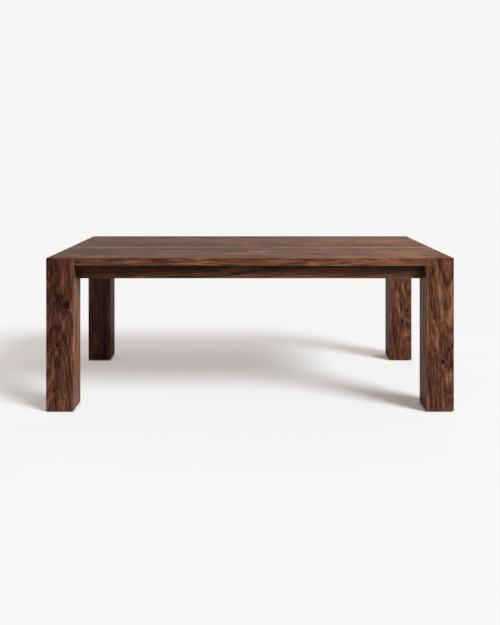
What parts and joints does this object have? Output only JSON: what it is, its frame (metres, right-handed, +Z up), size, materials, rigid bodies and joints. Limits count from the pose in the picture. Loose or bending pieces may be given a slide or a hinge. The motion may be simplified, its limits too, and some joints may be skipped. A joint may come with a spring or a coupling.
{
  "type": "parsons dining table",
  "caption": "Rectangular dining table with square corner posts that run flush up through the top, set-back aprons and screw-adjusted feet.",
  "frame": {"origin": "on the floor, under the middle of the top", "axes": "+X to the right along the length, +Y from the front to the back, +Z up; the front faces -Y"},
  "size_m": [2, 1, 0.755],
  "materials": {
    "top_walnut": "satin oil",
    "leg_walnut": "satin oil",
    "apron_walnut": "satin oil",
    "inner_wood": "planed, unfinished",
    "zinc_steel": "zinc plated",
    "foot_steel": "black oxide",
    "sleeve_brass": "turned",
    "nylon": "moulded"
  },
  "bodies": {
    "table": {"apron_back": "apron_walnut", "apron_front": "apron_walnut", "apron_left": "apron_walnut", "apron_right": "apron_walnut", "bolt_nuts": "zinc_steel", "bolt_washers": "zinc_steel", "corner_block_back_left": "inner_wood", "corner_block_back_right": "inner_wood", "corner_block_front_left": "inner_wood", "corner_block_front_right": "inner_wood", "cross_rail_left": "inner_wood", "cross_rail_right": "inner_wood", "hanger_bolts": "zinc_steel", "leg_back_left": "leg_walnut", "leg_back_right": "leg_walnut", "leg_front_left": "leg_walnut", "leg_front_right": "leg_walnut", "levelling_sleeves": "sleeve_brass", "top_board_1": "top_walnut", "top_board_2": "top_walnut", "top_board_3": "top_walnut", "top_board_4": "top_walnut", "top_board_5": "top_walnut", "top_buttons": "inner_wood"},
    "pad_front_left": {"foot_pad_front_left": "nylon"},
    "stem_front_left": {"foot_stem_front_left": "foot_steel"},
    "pad_front_right": {"foot_pad_front_right": "nylon"},
    "stem_front_right": {"foot_stem_front_right": "foot_steel"},
    "pad_back_right": {"foot_pad_back_right": "nylon"},
    "stem_back_right": {"foot_stem_back_right": "foot_steel"},
    "pad_back_left": {"foot_pad_back_left": "nylon"},
    "stem_back_left": {"foot_stem_back_left": "foot_steel"}
  },
  "joints": [
    {"name": "foot_pad_front_left_travel", "type": "slide", "parent": "table", "child": "pad_front_left", "axis": [0, 0, -1], "range_m": [0, 0.01]},
    {"name": "foot_stem_front_left_turn", "type": "hinge", "parent": "pad_front_left", "child": "stem_front_left", "pos_m": [-0.9325, -0.4325, 0], "axis": [0, 0, -1], "range_deg": [0, 2880]},
    {"name": "foot_pad_front_right_travel", "type": "slide", "parent": "table", "child": "pad_front_right", "axis": [0, 0, -1], "range_m": [0, 0.01]},
    {"name": "foot_stem_front_right_turn", "type": "hinge", "parent": "pad_front_right", "child": "stem_front_right", "pos_m": [0.9325, -0.4325, 0], "axis": [0, 0, -1], "range_deg": [0, 2880]},
    {"name": "foot_pad_back_right_travel", "type": "slide", "parent": "table", "child": "pad_back_right", "axis": [0, 0, -1], "range_m": [0, 0.01]},
    {"name": "foot_stem_back_right_turn", "type": "hinge", "parent": "pad_back_right", "child": "stem_back_right", "pos_m": [0.9325, 0.4325, 0], "axis": [0, 0, -1], "range_deg": [0, 2880]},
    {"name": "foot_pad_back_left_travel", "type": "slide", "parent": "table", "child": "pad_back_left", "axis": [0, 0, -1], "range_m": [0, 0.01]},
    {"name": "foot_stem_back_left_turn", "type": "hinge", "parent": "pad_back_left", "child": "stem_back_left", "pos_m": [-0.9325, 0.4325, 0], "axis": [0, 0, -1], "range_deg": [0, 2880]}
  ],
  "couplings": [
    {"joint": "foot_stem_front_left_turn", "follows": "foot_pad_front_left_travel", "rad_per_m": 5026.5},
    {"joint": "foot_stem_front_right_turn", "follows": "foot_pad_front_right_travel", "rad_per_m": 5026.5},
    {"joint": "foot_stem_back_right_turn", "follows": "foot_pad_back_right_travel", "rad_per_m": 5026.5},
    {"joint": "foot_stem_back_left_turn", "follows": "foot_pad_back_left_travel", "rad_per_m": 5026.5}
  ]
}
